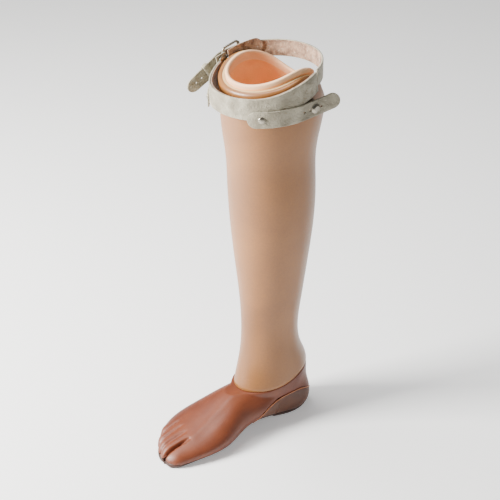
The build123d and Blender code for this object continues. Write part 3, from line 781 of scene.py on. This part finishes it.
def material(name, light, dark, rough, grain, bump, blotch=26.0, metallic=0.0, sheen=0.0, under=0.0,
             coat=0.0, fibre=1.0, spots=None, crease=0.0, depth=0.0004):
    """Finish with blotches between two colours, fine grain, uneven gloss and lighter raised edges (wear and
    painted highlight).
    """
    mat = bpy.data.materials.new(name)
    mat.use_nodes = True
    nodes, links = mat.node_tree.nodes, mat.node_tree.links
    shader = nodes["Principled BSDF"]
    shader.inputs["Metallic"].default_value = metallic
    shader.inputs["Sheen Weight"].default_value = sheen
    shader.inputs["Subsurface Weight"].default_value = under
    shader.inputs["Subsurface Scale"].default_value = 0.002
    shader.inputs["Coat Weight"].default_value = coat
    shader.inputs["Coat Roughness"].default_value = 0.35
    place = nodes.new("ShaderNodeTexCoord")
    stretch = nodes.new("ShaderNodeMapping")
    stretch.inputs["Scale"].default_value = (1, 1, fibre)
    links.new(place.outputs["Object"], stretch.inputs["Vector"])

    def noise(scale, detail, distortion=0.0):
        node = nodes.new("ShaderNodeTexNoise")
        node.inputs["Scale"].default_value = scale
        node.inputs["Detail"].default_value = detail
        node.inputs["Distortion"].default_value = distortion
        links.new(stretch.outputs["Vector"], node.inputs["Vector"])
        return node.outputs["Fac"]

    def mix(factor, a, b, blend="MIX"):
        node = nodes.new("ShaderNodeMix")
        node.data_type, node.blend_type = "RGBA", blend
        if isinstance(factor, float):
            node.inputs["Factor"].default_value = factor
        else:
            links.new(factor, node.inputs["Factor"])
        for socket, value in (("A", a), ("B", b)):
            where = [i for i in node.inputs if i.name == socket and i.type == "RGBA"][0]
            if isinstance(value, tuple):
                where.default_value = value
            else:
                links.new(value, where)
        return [o for o in node.outputs if o.type == "RGBA"][0]

    def ramp(value, low, high, start=0.0, end=1.0):
        node = nodes.new("ShaderNodeMapRange")
        node.inputs["From Min"].default_value = low
        node.inputs["From Max"].default_value = high
        node.inputs["To Min"].default_value = start
        node.inputs["To Max"].default_value = end
        links.new(value, node.inputs["Value"])
        return node.outputs["Result"]

    large, fine = noise(blotch, 4.0, 0.4), noise(grain, 6.0)
    colour = mix(ramp(large, 0.32, 0.68), linear(dark), linear(light))
    shade = mix(ramp(fine, 0.35, 0.65), (0.8, 0.8, 0.8, 1), (1, 1, 1, 1))
    colour = mix(0.55, colour, shade, "MULTIPLY")
    if spots:
        low = ramp(noise(blotch * 2.6, 5.0, 1.2), 0.60, 0.72)
        colour = mix(low, colour, linear(spots))
    # convex edges are lightened towards the light colour: partly wear, partly a painted edge highlight
    edge_wear_and_highlight = nodes.new("ShaderNodeNewGeometry").outputs["Pointiness"]
    colour = mix(ramp(edge_wear_and_highlight, 0.515, 0.56, 0.0, 0.45), colour, linear(light))
    links.new(colour, shader.inputs["Base Color"])
    links.new(ramp(fine, 0.3, 0.7, rough - 0.07, rough + 0.07), shader.inputs["Roughness"])
    raised = nodes.new("ShaderNodeBump")
    raised.inputs["Strength"].default_value = bump
    raised.inputs["Distance"].default_value = depth
    height = fine
    if crease:
        fold, total = nodes.new("ShaderNodeMath"), nodes.new("ShaderNodeMath")
        fold.operation, total.operation = "MULTIPLY", "ADD"
        fold.inputs[1].default_value = crease
        links.new(noise(grain / 6, 3.0, 1.5), fold.inputs[0])
        links.new(fold.outputs[0], total.inputs[0])
        links.new(fine, total.inputs[1])
        height = total.outputs[0]
    links.new(height, raised.inputs["Height"])
    links.new(raised.outputs["Normal"], shader.inputs["Normal"])
    return mat


FINISH = {
    "skin_laminate": material("skin_laminate", (148, 96, 44), (124, 78, 34), 0.40, 420, 0.12,
                              blotch=9, under=0.05, coat=0.15, crease=1.0),
    "socket_laminate": material("socket_laminate", (206, 176, 128), (186, 150, 104), 0.35, 700, 0.25,
                                coat=0.3),
    "rigid_foam": material("rigid_foam", (222, 204, 150), (206, 184, 128), 0.85, 1500, 0.7),
    # liner_foam: the foam's orange deepened with painted bounce light from inside the cup; liner_rim: the
    # foam's own paler colour
    "liner_foam": material("liner_foam", (250, 190, 132), (244, 168, 108), 0.62, 1100, 0.30, blotch=16,
                           under=0.12, sheen=0.1),
    "liner_rim": material("liner_rim", (244, 200, 156), (236, 182, 136), 0.6, 1000, 0.25, sheen=0.1),
    "foot_rubber": material("foot_rubber", (114, 56, 28), (90, 40, 20), 0.48, 800, 0.22, blotch=18,
                            under=0.03, crease=1.2),
    "cushion_rubber": material("cushion_rubber", (94, 52, 26), (74, 38, 19), 0.5, 700, 0.28, blotch=30,
                               crease=1.0),
    "sole_rubber": material("sole_rubber", (66, 34, 20), (48, 24, 14), 0.55, 600, 0.35, blotch=40),
    "flash_rubber": material("flash_rubber", (188, 118, 78), (160, 92, 58), 0.45, 600, 0.2),
    "ankle_wood": material("ankle_wood", (196, 150, 96), (150, 104, 60), 0.55, 260, 0.35, blotch=60,
                           fibre=0.08),
    "belting": material("belting", (206, 196, 170), (180, 168, 138), 0.85, 1800, 0.8, blotch=90, sheen=0.2),
    "steel": material("steel", (168, 168, 170), (140, 140, 144), 0.36, 900, 0.12, metallic=1.0),
    "nickel": material("nickel", (176, 170, 156), (118, 110, 96), 0.30, 1200, 0.10, blotch=120, metallic=1.0,
                       spots=(92, 84, 70)),
    "white_leather": material("white_leather", (180, 172, 150), (116, 108, 88), 0.62, 1300, 0.9, blotch=48,
                              sheen=0.15, spots=(118, 104, 80), crease=2.2, depth=0.0007),
    "suede": material("suede", (184, 152, 124), (112, 84, 64), 0.92, 900, 1.0, blotch=120, sheen=0.3,
                      spots=(206, 190, 172), crease=1.5, depth=0.0007),
}


def dress(obj, *slots):
    """Gives the mesh its materials, keeping the slot each face already asks for."""
    wanted = [min(p.material_index, len(slots) - 1) for p in obj.data.polygons]
    obj.data.materials.clear()
    for name in slots:
        obj.data.materials.append(FINISH[name])
    obj.data.polygons.foreach_set("material_index", wanted)
    return obj


def finish_piece(obj, body, slot, *nodes, looks=None):
    """Dresses a piece, lets it ride on a body and hides the CAD nodes it stands for."""
    dress(obj, *(looks or (slot,)))
    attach(obj, body)
    if nodes:
        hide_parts(*nodes)
    return obj


# ---- putting it together ------------------------------------------------------------------------
SLOT_OF = {part["node"]: part["material_slot"] for part in frame["record"]["subparts"]}
for node, obj in frame["nodes"].items():
    dress(obj, SLOT_OF[node])

shank = finish_piece(make_shank(), "leg", "skin_laminate", "shank_shell")
for side in (1, -1):
    cut_out(shank, rod("cutter", (side * STUD_SEAT_X, STUD_Y, STUD_Z), (side * 90, STUD_Y, STUD_Z),
                       STUD_SEAT_R, 40))

liner = finish_piece(make_liner(), "liner", "liner_foam", "soft_liner", looks=("liner_foam", "liner_rim"))
# the rim rows keep the foam's own pale colour, the rest shows the orange with painted bounce light
for index, polygon in enumerate(liner.data.polygons):
    if index // AROUND in RIM_ROWS:
        polygon.material_index = 1

pad = finish_piece(make_end_pad(), "liner", "liner_foam", "distal_pad")

finish_piece(make_foot_part("foot_skin", "foot_body", 1.2), "leg", "foot_rubber", "foot_body")
finish_piece(make_foot_part("heel_wedge", "heel_cushion", 1.2), "leg", "cushion_rubber", "heel_cushion")
finish_piece(make_foot_part("tread_sole", "sole", 1.0), "leg", "sole_rubber", "sole")
for side in (1, -1):
    finish_piece(make_moulding_line(side), "leg", "foot_rubber", looks=("flash_rubber",))

LEATHER_LOOKS = ("white_leather", "suede")
finish_piece(ring_strip("band_leather", BAND_START, BAND_END, BAND_R, LEATHER), "cuff",
             "white_leather", "cuff_band", looks=LEATHER_LOOKS)
finish_piece(ring_strip("band_suede", BAND_START + 0.5, BAND_END - 0.5, LINING_R, SUEDE, inset=0.4),
             "cuff", "suede", "cuff_lining")
finish_piece(make_closure_strap(), "cuff", "white_leather", "closure_strap", looks=LEATHER_LOOKS)
finish_piece(make_tongue(), "cuff", "suede", "chafe_tongue")
for side, name in ((1, "medial"), (-1, "lateral")):
    finish_piece(make_billet(side, name + "_tab"), "cuff", "white_leather", name + "_billet",
                 looks=LEATHER_LOOKS)
    finish_piece(make_billet_rivet(side, name + "_rivet"), "cuff", "nickel", name + "_billet_rivet")
finish_piece(make_keeper(), "cuff", "white_leather", "keeper_loop")
finish_piece(make_buckle_frame(), "cuff", "nickel", "buckle_frame")

# ---- camera, light and floor ------------------------------------------------------------------
AZIMUTH, ELEVATION, DISTANCE = math.radians(50), math.radians(28), 1.8
LENS, SHIFT = 103.68, (-0.036, 0.004)
target = Vector((0, 0, 0.230))
back = Vector((math.sin(AZIMUTH) * math.cos(ELEVATION), -math.cos(AZIMUTH) * math.cos(ELEVATION),
               math.sin(ELEVATION)))
camera = bpy.data.objects.new("camera", bpy.data.cameras.new("camera"))
bpy.context.collection.objects.link(camera)
camera.location = target + back * DISTANCE
camera.rotation_mode = "QUATERNION"
camera.rotation_quaternion = (-back).to_track_quat("-Z", "Y")
camera.data.lens = LENS
camera.data.shift_x, camera.data.shift_y = SHIFT
camera.data.clip_end = 50
bpy.context.scene.camera = camera


def area_light(name, place, power, size, colour=(1, 1, 1)):
    """Square light aimed at the target."""
    light = bpy.data.lights.new(name, "AREA")
    light.energy, light.size, light.color = power, size, colour
    obj = bpy.data.objects.new(name, light)
    obj.location = place
    obj.rotation_mode = "QUATERNION"
    obj.rotation_quaternion = (target - Vector(place)).to_track_quat("-Z", "Y")
    bpy.context.collection.objects.link(obj)


right = Vector((math.cos(AZIMUTH), math.sin(AZIMUTH), 0))
toward = Vector((back.x, back.y, 0)).normalized()
area_light("key", target - right * 1.6 + toward * 0.35 + Vector((0, 0, 0.8)), 150, 0.7, (1, 0.985, 0.96))
area_light("fill", target + right * 1.6 + toward * 0.3 + Vector((0, 0, 0.5)), 3.5, 1.4, (0.96, 0.98, 1))
area_light("top", target - toward * 0.4 - right * 0.5 + Vector((0, 0, 1.6)), 30, 1.0)

world = bpy.data.worlds.new("studio")
world.use_nodes = True
world.node_tree.nodes["Background"].inputs["Color"].default_value = (1, 1, 1, 1)
world.node_tree.nodes["Background"].inputs["Strength"].default_value = 0.22
bpy.context.scene.world = world

FLOOR_HALF, FLOOR_Z = 9000, -0.3        # millimetres
floor = mesh_object("studio_floor", [(-FLOOR_HALF, -FLOOR_HALF, FLOOR_Z), (FLOOR_HALF, -FLOOR_HALF, FLOOR_Z),
                                     (FLOOR_HALF, FLOOR_HALF, FLOOR_Z), (-FLOOR_HALF, FLOOR_HALF, FLOOR_Z)],
                    [(0, 1, 2, 3)], smooth=False)
floor_look = bpy.data.materials.new("studio_floor")
floor_look.use_nodes = True
floor_inputs = floor_look.node_tree.nodes["Principled BSDF"].inputs
floor_inputs["Base Color"].default_value = (0.93, 0.93, 0.92, 1)
floor_inputs["Roughness"].default_value = 0.9
floor_inputs["Emission Color"].default_value = (1, 1, 1, 1)
floor_inputs["Emission Strength"].default_value = 0.30
floor.data.materials.append(floor_look)
